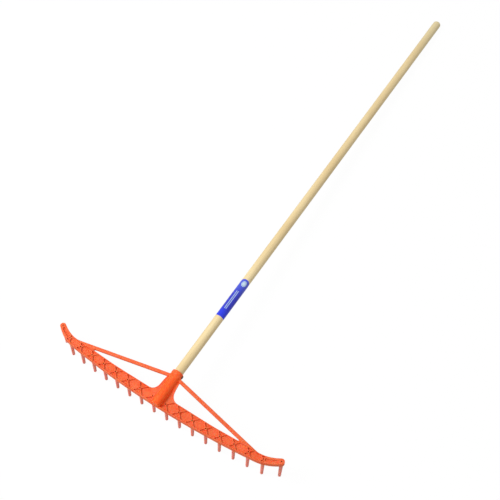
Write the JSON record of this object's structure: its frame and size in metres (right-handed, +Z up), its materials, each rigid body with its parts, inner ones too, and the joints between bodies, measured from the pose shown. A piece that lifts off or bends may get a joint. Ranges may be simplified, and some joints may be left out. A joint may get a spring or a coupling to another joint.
{
  "type": "garden rake",
  "caption": "Wide garden rake: a moulded plastic head with ribbed rail, tines, stays and socket, screwed to a long round wooden handle.",
  "frame": {"origin": "bottom centre of the bounding box of the rake, which lies on the ground on its outer tines and the end of its handle", "axes": "+X along the head's rail to the side of the screw, +Y from the head towards the free end of the handle, +Z up"},
  "size_m": [0.713, 1.5838, 0.1108],
  "materials": {
    "red_plastic": "satin, injection moulded, orange-red",
    "pale_wood": "smooth turned pale hardwood, thin clear coat",
    "dark_steel": "dark blackened",
    "blue_film": "printed blue film, bare"
  },
  "bodies": {
    "root": {"rake_head": "red_plastic", "handle": "pale_wood", "socket_screw": "dark_steel", "label": "blue_film"}
  },
  "joints": []
}
